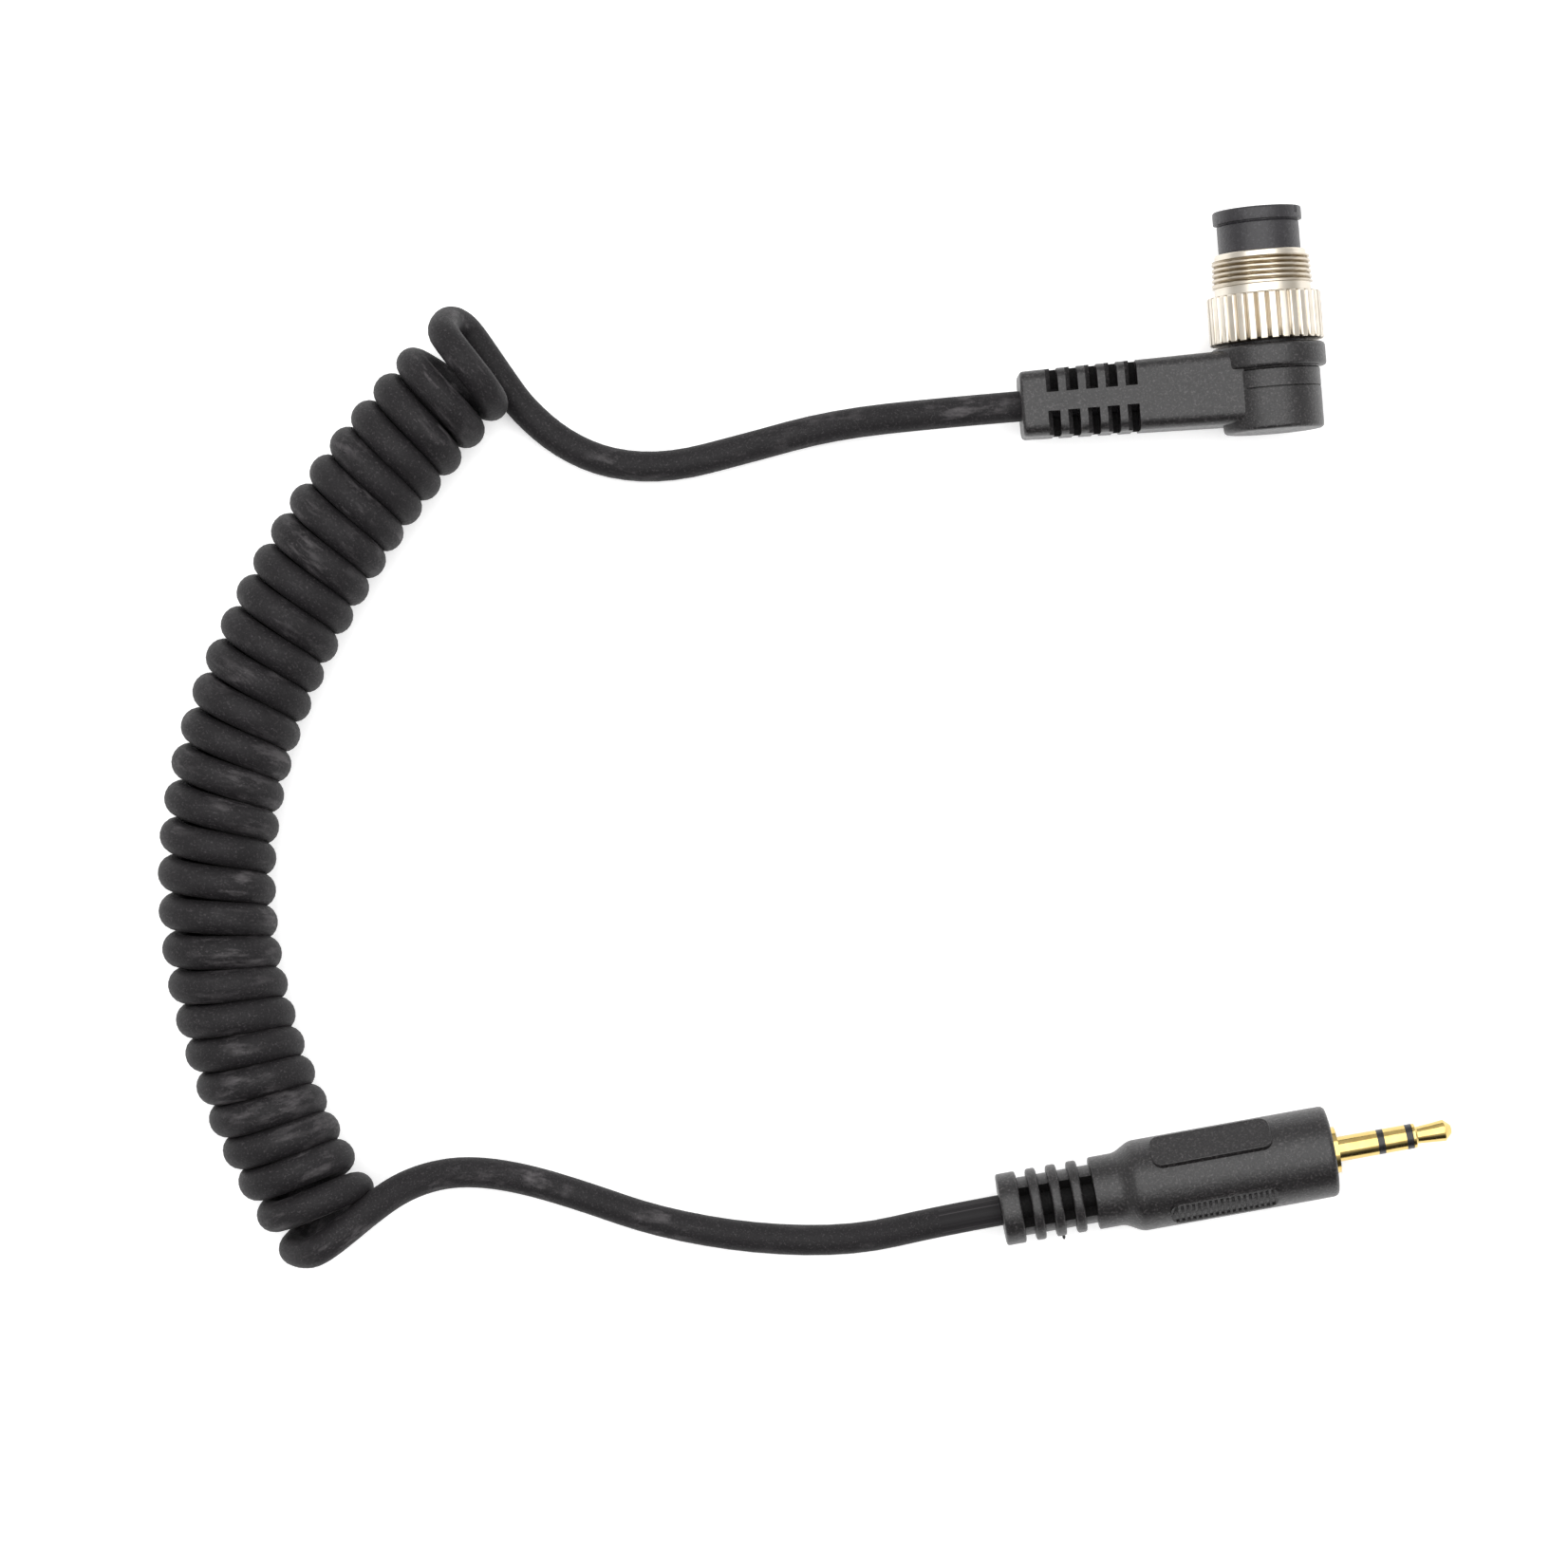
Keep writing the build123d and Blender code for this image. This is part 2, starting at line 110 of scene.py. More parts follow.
def new_material(name):
    """An empty node material: its tree, and the function that closes it with a shader."""
    material = bpy.data.materials.new(name)
    material.use_nodes = True
    tree = material.node_tree
    tree.nodes.clear()
    output = tree.nodes.new("ShaderNodeOutputMaterial")

    def close(inputs, **settings):
        shader = add_node(tree, "BsdfPrincipled", inputs, **settings)
        tree.links.new(shader.outputs[0], output.inputs[0])
        return material

    return tree, close


def stretch(tree, value, low, high, out_low=0.0, out_high=1.0):
    """Maps a value's range on another, clamped."""
    return add_node(tree, "MapRange", {0: value, 1: low, 2: high, 3: out_low, 4: out_high}).outputs[0]


def blend_colours(tree, share, first, second):
    """A colour between two, by a share from 0 to 1."""
    return add_node(tree, "Mix", {0: share, 6: first, 7: second}, data_type="RGBA").outputs[2]


def in_mm(tree, centre=(0, 0, 0), turn=(0, 0, 0), scale=(1, 1, 1)):
    """Object coordinates in millimetres from a centre, turned and stretched."""
    coords = add_node(tree, "TexCoord").outputs["Object"]
    moved = add_node(tree, "VectorMath", {0: coords, 1: centre}, operation="SUBTRACT").outputs[0]
    size = [1000 * s for s in scale]
    return add_node(tree, "Mapping", {0: moved, 2: turn, 3: size}).outputs[0]


def squeezed(tree, vector, scale):
    """Coordinates scaled per axis: a pattern comes out long where the scale is small."""
    return add_node(tree, "Mapping", {0: vector, 3: scale}).outputs[0]


def combined(tree, first, second, operation="MULTIPLY"):
    """One number out of two."""
    return add_node(tree, "Math", {0: first, 1: second}, operation=operation).outputs[0]


def noise(tree, vector, scale, detail=2.0, rough=0.5):
    """Cloudy noise; its scale is in patches per unit of the vector."""
    return add_node(tree, "TexNoise", {"Vector": vector, "Scale": scale, "Detail": detail,
                                       "Roughness": rough}).outputs[0]


def bump(tree, height, depth_mm, strength):
    """Fine relief of a height pattern, too small to be worth a mesh."""
    return add_node(tree, "Bump", {"Strength": strength, "Distance": depth_mm * MM, "Height": height}).outputs[0]


def jacket_rubber():
    """Thermoplastic rubber, extruded and then scuffed by handling.

    Matt charcoal, with pale dust in its fine grain and chalky rub marks that run along the strand; the rub marks
    are partly real wear and partly a painted sheen, pale streaks along the strands."""
    tree, close = new_material("matt_thermoplastic_rubber")
    strand = add_node(tree, "Attribute", attribute_name="strand").outputs["Vector"]
    along = squeezed(tree, strand, (0.4, 1.1, 1.1))
    patches = stretch(tree, noise(tree, strand, 0.13, 2.0), 0.46, 0.62)
    # rub marks along the strand: partly real wear, partly a painted sheen
    rubs_and_sheen = stretch(tree, noise(tree, along, 1.0, 3.0, 0.6), 0.50, 0.76)
    rub_and_sheen_share = combined(tree, rubs_and_sheen, patches)
    dust = stretch(tree, noise(tree, strand, 4.8, 3.0, 0.7), 0.55, 0.78, 0.0, 0.5)
    tone = blend_colours(tree, stretch(tree, noise(tree, strand, 0.35, 2.0), 0.3, 0.7),
                         linear("#131113"), linear("#181618"))
    dusty = blend_colours(tree, dust, tone, linear("#5c585a"))
    # the pale rub colour stands for wear and for painted sheen along the strands
    worn_and_sheen = blend_colours(tree, stretch(tree, rub_and_sheen_share, 0.0, 1.0, 0.0, 0.5), dusty, linear("#6e6a6c"))
    grain = noise(tree, strand, 4.5, 3.0, 0.6)
    return close({"Base Color": worn_and_sheen, "Roughness": stretch(tree, grain, 0.3, 0.7, 0.58, 0.72),
                  "IOR": 1.5, "Specular IOR Level": 0.25, "Normal": bump(tree, grain, 0.05, 0.6)})


def moulded_vinyl(name, gloss, smooth, rough, dark, light, sparkle):
    """Soft vinyl moulded against a spark-eroded tool: an even, fine satin grain, dark grey under a lamp.

    The real grain is about 0.15 mm wide; here it is 0.3 mm, so that it shows. Down in the slots and windows
    of the bend reliefs the vinyl is matt, because no finger polishes it there, and painted nearly black as painted
    shade."""
    tree, close = new_material(name)
    place = in_mm(tree)
    grain = noise(tree, place, 3.4, 2.0, 0.6)
    speck = stretch(tree, noise(tree, place, 4.4, 2.0, 0.6), 0.52, 0.72, 0.0, 0.5)
    tone = blend_colours(tree, stretch(tree, noise(tree, place, 0.3, 2.0), 0.3, 0.7),
                         linear(dark), linear(light))
    return close({"Base Color": blend_colours(tree, speck, tone, linear(sparkle)),
                  "Roughness": stretch(tree, grain, 0.3, 0.7, smooth, rough),
                  "IOR": 1.53, "Specular IOR Level": gloss, "Normal": bump(tree, grain, 0.04, 0.8)})


def satin_nylon():
    """Glass-filled nylon, moulded in a smooth tool: black with a satin sheen and fine pale fibre ends."""
    tree, close = new_material("satin_black_nylon")
    place = in_mm(tree)
    grain = noise(tree, place, 3.6, 3.0, 0.65)
    fibres = stretch(tree, noise(tree, place, 3.4, 2.0, 0.7), 0.55, 0.75, 0.0, 0.5)
    tone = blend_colours(tree, noise(tree, place, 0.5, 2.0), linear("#1c1a1d"), linear("#252327"))
    return close({"Base Color": blend_colours(tree, fibres, tone, linear("#4e4c50")),
                  "Roughness": stretch(tree, grain, 0.3, 0.7, 0.38, 0.5),
                  "IOR": 1.53, "Specular IOR Level": 0.45, "Normal": bump(tree, grain, 0.05, 0.8)})


def nickel_plate():
    """Nickel plate on turned brass: warm and bright on its crests, with painted shade, dark and brownish, in its
    grooves.

    The painted shade goes by radius, in millimetres: below the thread's crests, and low in the flutes of the grip."""
    tree, close = new_material("nickel_plated_brass")
    place = in_mm(tree, PLUG_CENTRE)
    along = add_node(tree, "SeparateXYZ", {0: place}).outputs[1]
    radius = add_node(tree, "VectorMath", {0: squeezed(tree, place, (1.0, 0.0, 1.0))}, operation="LENGTH").outputs[1]
    in_thread = combined(tree, stretch(tree, along, 9.95, 10.05), stretch(tree, along, 12.6, 12.7, 1.0, 0.0))
    # painted shade: the plate is painted darker and browner below the thread's crests and low in the flutes
    thread_painted_shade = combined(tree, stretch(tree, radius, 4.66, 4.92, 0.95, 0.3), in_thread)
    on_grip = stretch(tree, along, 9.0, 9.1, 1.0, 0.0)
    flute_painted_shade = combined(tree, stretch(tree, radius, 5.38, 5.6, 0.7, 0.0), on_grip)
    groove_painted_shade = combined(tree, thread_painted_shade, flute_painted_shade, "MAXIMUM")
    marks = noise(tree, squeezed(tree, place, (0.05, 9.0, 0.05)), 1.0, 3.0, 0.7)
    wear = noise(tree, place, 0.5, 2.0, 0.5)
    plate_tone = blend_colours(tree, stretch(tree, wear, 0.35, 0.7), linear("#d4cdc1"), linear("#c6bdae"))
    # the brownish colour here is the colour of the painted shade in the grooves
    return close({"Base Color": blend_colours(tree, groove_painted_shade, plate_tone, linear("#9d8f78")), "Metallic": 1.0,
                  "Roughness": stretch(tree, marks, 0.3, 0.7, 0.28, 0.38)})


def gold_plate():
    """Thin gold plate over nickel, polished by use: deep yellow with hair scratches along the shaft."""
    tree, close = new_material("gold_plated_brass")
    place = in_mm(tree, JACK_FACE, (0, 0, -JACK_YAW))
    scratches = noise(tree, squeezed(tree, place, (0.6, 7.0, 7.0)), 1.0, 4.0, 0.7)
    tone = blend_colours(tree, noise(tree, place, 0.9, 2.0), linear("#d9c07f"), linear("#c5a862"))
    return close({"Base Color": tone, "Metallic": 1.0,
                  "Roughness": stretch(tree, scratches, 0.35, 0.7, 0.1, 0.26),
                  "Normal": bump(tree, scratches, 0.006, 0.3)})


def smooth_insulator():
    """Smooth black acetal between the contacts, with a soft gloss."""
    tree, close = new_material("black_acetal")
    place = in_mm(tree)
    tone = blend_colours(tree, noise(tree, place, 1.5, 2.0), linear("#161516"), linear("#201f20"))
    return close({"Base Color": tone, "Roughness": stretch(tree, noise(tree, place, 6.0, 2.0), 0.3, 0.7, 0.25, 0.35),
                  "IOR": 1.48})


def natural_polythene():
    """Unpigmented polyethylene, as the inner mouldings are: waxy, milky white."""
    tree, close = new_material("natural_polyethylene")
    place = in_mm(tree)
    tone = blend_colours(tree, noise(tree, place, 0.6, 2.0), linear("#d5d1c4"), linear("#e2dfd4"))
    grain = noise(tree, place, 3.0)
    return close({"Base Color": tone, "Roughness": stretch(tree, grain, 0.3, 0.7, 0.4, 0.55), "IOR": 1.51})


def tinned_brass():
    """Sheet brass with a hot tin dip: pale grey with soft ripples."""
    tree, close = new_material("tinned_sheet_brass")
    place = in_mm(tree)
    ripples = noise(tree, place, 1.6, 3.0)
    tone = blend_colours(tree, ripples, linear("#b9b5aa"), linear("#d0cdc4"))
    return close({"Base Color": tone, "Metallic": 1.0,
                  "Roughness": stretch(tree, ripples, 0.3, 0.7, 0.25, 0.4),
                  "Normal": bump(tree, ripples, 0.02, 0.5)})


def core_insulation():
    """Thin red vinyl on the cord's cores, a little streaked by the extruder."""
    tree, close = new_material("red_core_vinyl")
    place = in_mm(tree, scale=(0.2, 1, 1))
    tone = blend_colours(tree, noise(tree, place, 2.0, 2.0), linear("#9c2a22"), linear("#b5372c"))
    grain = noise(tree, place, 5.0)
    return close({"Base Color": tone, "Roughness": stretch(tree, grain, 0.3, 0.7, 0.4, 0.5), "IOR": 1.53})


MATERIALS = {
    "cord_jacket": jacket_rubber(), "insert_plastic": satin_nylon(),
    "moulding": moulded_vinyl("spark_grained_vinyl", 0.46, 0.35, 0.47, "#110f10", "#151314", "#534f50"),
    "nickel_plate": nickel_plate(), "gold_plate": gold_plate(), "insulator": smooth_insulator(),
    "inner_moulding": natural_polythene(), "tinned_brass": tinned_brass(),
    "core_insulation": core_insulation(),
}
# matt vinyl for the slots and windows, its colours painted nearly black as painted shade
WINDOW_PAINTED_SHADE_VINYL = moulded_vinyl("matt_window_vinyl_painted_shade", 0.15, 0.6, 0.75, "#0a0909", "#0e0d0d", "#262324")


def sweep_paper():
    """White background paper on a light table, evenly lit."""
    tree, close = new_material("white_sweep_paper")
    place = in_mm(tree)
    tone = blend_colours(tree, noise(tree, place, 0.02, 2.0), linear("#f6f6f6"), linear("#f8f8f8"))
    return close({"Base Color": tone, "Roughness": 0.9, "Specular IOR Level": 0.1,
                  "Emission Color": (1.0, 1.0, 1.0, 1.0), "Emission Strength": 0.32})


def make_stage():
    """A flat sheet of white paper under the object."""
    mesh = bpy.data.meshes.new("paper")
    form = bmesh.new()
    bmesh.ops.create_grid(form, x_segments=1, y_segments=1, size=FLOOR_HALF)
    form.to_mesh(mesh)
    form.free()
    floor = bpy.data.objects.new("paper", mesh)
    floor.location = (VIEW_CENTRE.x, VIEW_CENTRE.y, FLOOR_Z)
    mesh.materials.append(sweep_paper())
    bpy.context.scene.collection.objects.link(floor)


def add_softbox(name, place, aim, size, power):
    """A rectangular soft light, turned towards a point."""
    data = bpy.data.lights.new(name, "AREA")
    data.shape = "RECTANGLE"
    data.size, data.size_y = size
    data.energy = power
    light = bpy.data.objects.new(name, data)
    light.location = place
    light.rotation_euler = (Vector(aim) - Vector(place)).to_track_quat("-Z", "Y").to_euler()
    bpy.context.scene.collection.objects.link(light)


def make_light():
    """One large softbox overhead, a little behind, in a white room whose front is dark."""
    world = bpy.data.worlds.new("studio")
    world.use_nodes = True
    bpy.context.scene.world = world
    tree = world.node_tree
    direction = add_node(tree, "SeparateXYZ", {0: add_node(tree, "TexCoord").outputs["Generated"]})
    room = add_node(tree, "MapRange", {0: direction.outputs[1], 1: FRONT_FROM, 2: FRONT_TO, 3: FRONT_GLOW, 4: ROOM_GLOW},
                    interpolation_type="SMOOTHSTEP").outputs[0]
    seen = add_node(tree, "LightPath").outputs["Is Camera Ray"]
    glow = stretch(tree, seen, 0.0, 1.0, room, BACKDROP_GLOW)
    background = tree.nodes["Background"]
    background.inputs[0].default_value = (1.0, 1.0, 1.0, 1.0)
    tree.links.new(glow, background.inputs[1])
    add_softbox("box_above", BOX_PLACE, VIEW_CENTRE, BOX_SIZE, BOX_POWER)
    bpy.context.scene.view_settings.view_transform = "Standard"


# ------------------------------------------------------------------ shaping, in millimetres

def lathe(form, outline, segments, shape=None):
    """Turns an outline of (radius, along Y) points; shape may change a point's radius by its angle."""
    def place(vertices, radius, along):
        for vertex in vertices:
            angle = math.atan2(vertex.co.z, vertex.co.x)
            reach = shape(angle, radius, along) if shape else radius
            vertex.co = (reach * math.cos(angle), along, reach * math.sin(angle))

    loop = bmesh.ops.create_circle(form, segments=segments, radius=1.0)["verts"]
    bmesh.ops.rotate(form, verts=loop, matrix=Matrix.Rotation(math.pi / 2, 3, "X"))
    first_edges = edges = list({edge for vertex in loop for edge in vertex.link_edges})
    place(loop, *outline[0])
    for radius, along in outline[1:]:
        made = bmesh.ops.extrude_edge_only(form, edges=edges)["geom"]
        loop = [item for item in made if isinstance(item, bmesh.types.BMVert)]
        edges = [item for item in made if isinstance(item, bmesh.types.BMEdge)]
        place(loop, radius, along)
    return first_edges, edges


def close_ends(form, *loops):
    """A flat face over each loop of edges."""
    for edges in loops:
        bmesh.ops.edgeloop_fill(form, edges=edges)


def add_block(form, low, high, turn=None):
    """A box between two corners, in millimetres."""
    size = [b - a for a, b in zip(low, high)]
    middle = [(a + b) / 2 for a, b in zip(low, high)]
    matrix = Matrix.Translation(middle) @ Matrix.Diagonal((*size, 1.0))
    return bmesh.ops.create_cube(form, size=1.0, matrix=turn @ matrix if turn else matrix)["verts"]


def bare_mesh(form, name):
    """The form as a mesh, its faces outward."""
    mesh = bpy.data.meshes.new(name)
    bmesh.ops.recalc_face_normals(form, faces=form.faces)
    form.to_mesh(mesh)
    form.free()
    return mesh


def worked(mesh, kind, **settings):
    """The mesh after one modifier."""
    piece = bpy.data.objects.new(mesh.name, mesh)
    bpy.context.scene.collection.objects.link(piece)
    modifier = piece.modifiers.new("work", kind)
    for name, value in settings.items():
        setattr(modifier, name, value)
    result = bpy.data.meshes.new_from_object(piece.evaluated_get(bpy.context.evaluated_depsgraph_get()))
    result.name = mesh.name
    bpy.data.objects.remove(piece)
    return result


def carved(mesh, cutter):
    """The mesh with the cutter's solids taken out."""
    tool = bpy.data.objects.new("cutter", cutter)
    bpy.context.scene.collection.objects.link(tool)
    result = worked(mesh, "BOOLEAN", object=tool, operation="DIFFERENCE", solver="EXACT")
    bpy.data.objects.remove(tool)
    return result


def softened(mesh, width, segments=2, angle=40):
    """The mesh with its sharp edges rounded."""
    return worked(mesh, "BEVEL", width=width, segments=segments, limit_method="ANGLE",
                  angle_limit=math.radians(angle), profile=0.5, material=-1, use_clamp_overlap=True)


def even_shading(piece):
    """Large flat faces keep flat shading beside rounded edges."""
    modifier = piece.modifiers.new("even_shading", "WEIGHTED_NORMAL")
    modifier.keep_sharp = True


def joined(meshes, name, place, sharp=38):
    """One mesh of several, in its place in metres, smooth except at its sharp edges."""
    form = bmesh.new()
    for mesh in meshes:
        form.from_mesh(mesh)
    bmesh.ops.transform(form, matrix=place @ Matrix.Scale(MM, 4), verts=form.verts)
    result = bpy.data.meshes.new(name)
    form.to_mesh(result)
    form.free()
    for face in result.polygons:
        face.use_smooth = True
    result.set_sharp_from_angle(angle=math.radians(sharp))
    return result


def give_painted_shade_vinyl(piece, is_inside):
    """The matt vinyl, painted nearly black as painted shade, on the faces that a test picks."""
    piece.data.materials.append(WINDOW_PAINTED_SHADE_VINYL)
    for face in piece.data.polygons:
        if is_inside(face):
            face.material_index = 1


# ------------------------------------------------------------------ camera plug

IN_PLUG = Matrix.Translation(PLUG_CENTRE)
ARM_LENGTH = 25.0
ARM_HALF_CORD, ARM_HALF_HEAD = (3.25, 3.7), (3.75, 4.0)      # half width and half height
SLOT_START, SLOT_PITCH, SLOT_WIDTH, SLOT_COUNT = -22.45, 1.96, 1.2, 5
SLOT_STEP = 0.48                                             # a slot's floor drops after this much of it
SLOT_LEDGE = (2.75, 2.1)                                     # the sloping ledge before it, above the arm's middle
SLOT_FLOOR = 0.3                                             # and the flat floor after it
SPINE_HALF = 0.93


def arm_form():
    """The tapered arm, its long edges and its cord end rounded."""
    form = bmesh.new()
    bmesh.ops.create_cube(form, size=2.0)
    for vertex in form.verts:
        x, y, z = vertex.co
        half_width, half_height = ARM_HALF_HEAD if x > 0 else ARM_HALF_CORD
        vertex.co = (0.0 if x > 0 else -ARM_LENGTH, y * half_width, z * half_height)
    along = [edge for edge in form.edges if abs(edge.verts[0].co.x - edge.verts[1].co.x) > 1]
    bmesh.ops.bevel(form, geom=along, offset=1.3, offset_type="OFFSET", segments=8, profile=0.5,
                    affect="EDGES", material=-1)
    rim = [edge for edge in form.edges if all(vertex.co.x < 0.01 - ARM_LENGTH for vertex in edge.verts)]
    bmesh.ops.bevel(form, geom=rim, offset=0.4, offset_type="OFFSET", segments=4, profile=0.5,
                    affect="EDGES", material=-1)
    return bare_mesh(form, "arm")


def slot_cutter(first, depth_edge, depth):
    """Cross slots of the bend relief, above and below, beside the spine, from a first edge on."""
    form = bmesh.new()
    for index in range(SLOT_COUNT):
        start = SLOT_START + index * SLOT_PITCH
        for side in (-1, 1):
            near, far = sorted((side * SPINE_HALF, side * 5))
            for level in (-1, 1):
                low, high = sorted((level * depth, level * 5))
                for vertex in add_block(form, (start + first, near, low), (start + SLOT_WIDTH, far, high)):
                    if vertex.co.x < start + first + 0.1 and abs(vertex.co.z) < 4:
                        vertex.co.z = level * depth_edge
    return bare_mesh(form, "slots")


def is_slot_floor(face):
    """Level faces low in the slots."""
    place = (face.center - PLUG_CENTRE) / MM
    beside_slots = SLOT_START < place.x < SLOT_START + SLOT_COUNT * SLOT_PITCH
    return beside_slots and abs(place.z) < SLOT_FLOOR * 2 and abs(face.normal.z) > 0.7


def make_elbow():
    """Arm, bend relief, head and flange."""
    arm = carved(arm_form(), slot_cutter(0.0, *SLOT_LEDGE))
    arm = softened(carved(arm, slot_cutter(SLOT_STEP, SLOT_FLOOR, SLOT_FLOOR)), 0.08, 2, 50)
    form = bmesh.new()
    ends = lathe(form, [
        (2.0, -4.55), (4.5, -4.55), (4.72, -4.52), (4.89, -4.41), (4.97, -4.25), (5.0, -4.05),
        (5.0, -0.47), (4.98, -0.45), (4.82, -0.42), (4.82, -0.37), (4.98, -0.34), (5.0, -0.32),
        (5.0, 1.36), (4.93, 1.42), (4.9, 1.52), (4.94, 1.61), (5.42, 1.63), (5.58, 1.68),
        (5.67, 1.79), (5.7, 1.95), (5.7, 3.50), (5.67, 3.68), (5.58, 3.84), (5.42, 3.93),
        (5.22, 3.97), (3.0, 3.97),
    ], 160)
    close_ends(form, *ends)
    elbow = add_piece("elbow_moulding", joined([arm, bare_mesh(form, "head")], "elbow_moulding", IN_PLUG),
                      MATERIALS["moulding"])
    # painted shade: the slots' floors get the nearly black matt vinyl
    give_painted_shade_vinyl(elbow, is_slot_floor)
    even_shading(elbow)
    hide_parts("elbow_overmould")


FLUTES, FLUTE_DEPTH, FLUTE_SHARE, FLUTE_PHASE = 32, 0.27, 0.22, 0.325
RUN_OUT_FROM, RUN_OUT_LENGTH, RUN_OUT_DEPTH = 4.54, 0.24, 1.0     # flutes deepen towards the ring's rear face
RING_SEGMENTS = FLUTES * 16
GRIP_R, RING_NECK_R, LEAD_R, RING_BORE_R, RING_STEP_R = 5.65, 4.77, 4.55, 4.15, 3.8
THREAD_START, THREAD_END, THREAD_PITCH, THREAD_DEPTH = 9.98, 12.62, 0.52, 0.28
THREAD_R, THREAD_TAPER, THREAD_STEPS, THREAD_FADE = 5.0, 0.14, 66, 0.2


def ring_radius(angle, radius, along):
    """The grip's flutes and the fine right-hand thread, as changes of the ring's radius."""
    if radius > 5.2 and along < 9.3:
        phase = (angle / (2 * math.pi) * FLUTES + FLUTE_PHASE) % 1
        inside = min(1.0, abs(phase - 0.5) / FLUTE_SHARE)
        depth = FLUTE_DEPTH + RUN_OUT_DEPTH * max(0.0, (RUN_OUT_FROM - along) / RUN_OUT_LENGTH) ** 1.2
        return radius - depth * (0.5 + 0.5 * math.cos(math.pi * inside)) ** 0.75
    if radius > 4.6 and THREAD_START < along < THREAD_END:
        phase = ((along - THREAD_START) / THREAD_PITCH - angle / (2 * math.pi)) % 1
        fade = min(1.0, (along - THREAD_START) / THREAD_FADE, (THREAD_END - along) / THREAD_FADE)
        return radius - THREAD_DEPTH * fade * max(0.0, 1 - abs(phase - 0.5) / 0.33)
    return radius


def make_lock_ring():
    """Screw-lock ring with rounded flutes, a plain neck, a real thread and a plain lead."""
    outline = [(RING_STEP_R, 4.3), (5.5, 4.3), (5.6, 4.33), (5.64, 4.38)]
    outline += [(GRIP_R, along) for along in (4.42, 4.46, 4.5, 4.54, 6.0, 7.5, 8.82)]
    outline += [(5.62, 8.94), (5.54, 9.02), (5.40, 9.05), (5.1, 9.05)]
    outline += [(RING_NECK_R, along) for along in (9.07, 9.12, 9.5, 9.9)] + [(4.9, 9.96)]
    for index in range(THREAD_STEPS + 1):
        along = THREAD_START + (THREAD_END - THREAD_START) * index / THREAD_STEPS
        outline.append((THREAD_R - THREAD_TAPER * index / THREAD_STEPS, along))
    outline += [(4.57, 12.66), (LEAD_R, 12.72), (LEAD_R, 13.1), (4.52, 13.19), (4.43, 13.25),
                (RING_BORE_R, 13.25), (RING_BORE_R, 7.3), (RING_STEP_R, 7.3), (RING_STEP_R, 4.3)]
    form = bmesh.new()
    lathe(form, outline, RING_SEGMENTS, ring_radius)
    bmesh.ops.remove_doubles(form, verts=form.verts, dist=0.0005)
    ring = add_piece("screw_ring", joined([bare_mesh(form, "ring")], "screw_ring", IN_PLUG, 50),
                     MATERIALS["nickel_plate"], RING_BODY)
    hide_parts("lock_ring")


CONTACT_RING_R, CONTACT_INNER, CONTACT_HOLE_R = 2.7, 0.95, 0.47
HOLE_MIDDLE, HOLE_DEPTH = 16.5, 3.0
KEY_R, KEY_ANGLE = 4.45, math.radians(36)


def contact_holes():
    """Holes of the ten contacts, eight in a ring and two inside it, and the key notch in the lip."""
    angles = [math.radians(22.5 + 45 * index) for index in range(8)]
    places = [(CONTACT_RING_R * math.cos(angle), CONTACT_RING_R * math.sin(angle)) for angle in angles]
    form = bmesh.new()
    for x, z in places + [(-CONTACT_INNER, 0.0), (CONTACT_INNER, 0.0)]:
        lying = Matrix.Translation((x, HOLE_MIDDLE, z)) @ Matrix.Rotation(math.pi / 2, 4, "X")
        bmesh.ops.create_cone(form, cap_ends=True, segments=32, radius1=CONTACT_HOLE_R,
                              radius2=CONTACT_HOLE_R, depth=HOLE_DEPTH, matrix=lying)
    x, z = KEY_R * math.cos(KEY_ANGLE), KEY_R * math.sin(KEY_ANGLE)
    add_block(form, (x - 0.15, 16.75, z - 0.4), (x + 0.15, 18.0, z + 0.4))
    return bare_mesh(form, "holes")


def make_insert():
    """The contact carrier: a plain barrel with a lip, a fine undercut behind the lip, and ten holes."""
    form = bmesh.new()
    ends = lathe(form, [
        (3.0, 1.0), (3.72, 1.0), (3.72, 7.55), (4.08, 7.55), (4.08, 12.0), (4.08, 16.02), (4.02, 16.08),
        (3.98, 16.16), (3.99, 16.25), (4.30, 16.25), (4.39, 16.28), (4.42, 16.36), (4.42, 17.3),
        (4.40, 17.42), (4.34, 17.51), (4.24, 17.55), (3.6, 17.55),
    ], 160)
    close_ends(form, *ends)
    barrel = carved(bare_mesh(form, "insert"), contact_holes())
    insert = add_piece("contact_carrier", joined([barrel], "contact_carrier", IN_PLUG),
                       MATERIALS["insert_plastic"])
    even_shading(insert)
    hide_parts("contact_insert")


# ------------------------------------------------------------------ jack

IN_JACK = Matrix.Translation(JACK_FACE) @ Matrix.Rotation(JACK_YAW, 4, "Z")
IN_JACK_INVERSE = IN_JACK.inverted()
RIDGES = [(-33.45, -31.45), (-30.45, -29.42), (-28.4, -27.37), (-26.33, -25.3)]
RIDGE_R, RIB_R, CORE_R, NECK_R, BARREL_R = 3.6, 2.92, 1.7, 3.63, 4.55
NECK_START, SHOULDER_START, BARREL_START = -24.1, -21.9, -19.4
WINDOW_UNDER = 2.6                                           # the windows' floors lie below this radius
SHOULDER_STEPS = 14
RIBBED_PAD_FLAT, PLAIN_PAD_FLAT = 4.6, 4.68
PLAIN_PAD, RIBBED_PAD = (-17.95, -5.9, 1.9), (-17.0, -6.2, 1.4)     # back, front, half width
PAD_RIBS, RIB_GROOVE, RIB_GROOVE_DEPTH, RIB_RIM = 18, 0.3, 0.32, 0.22
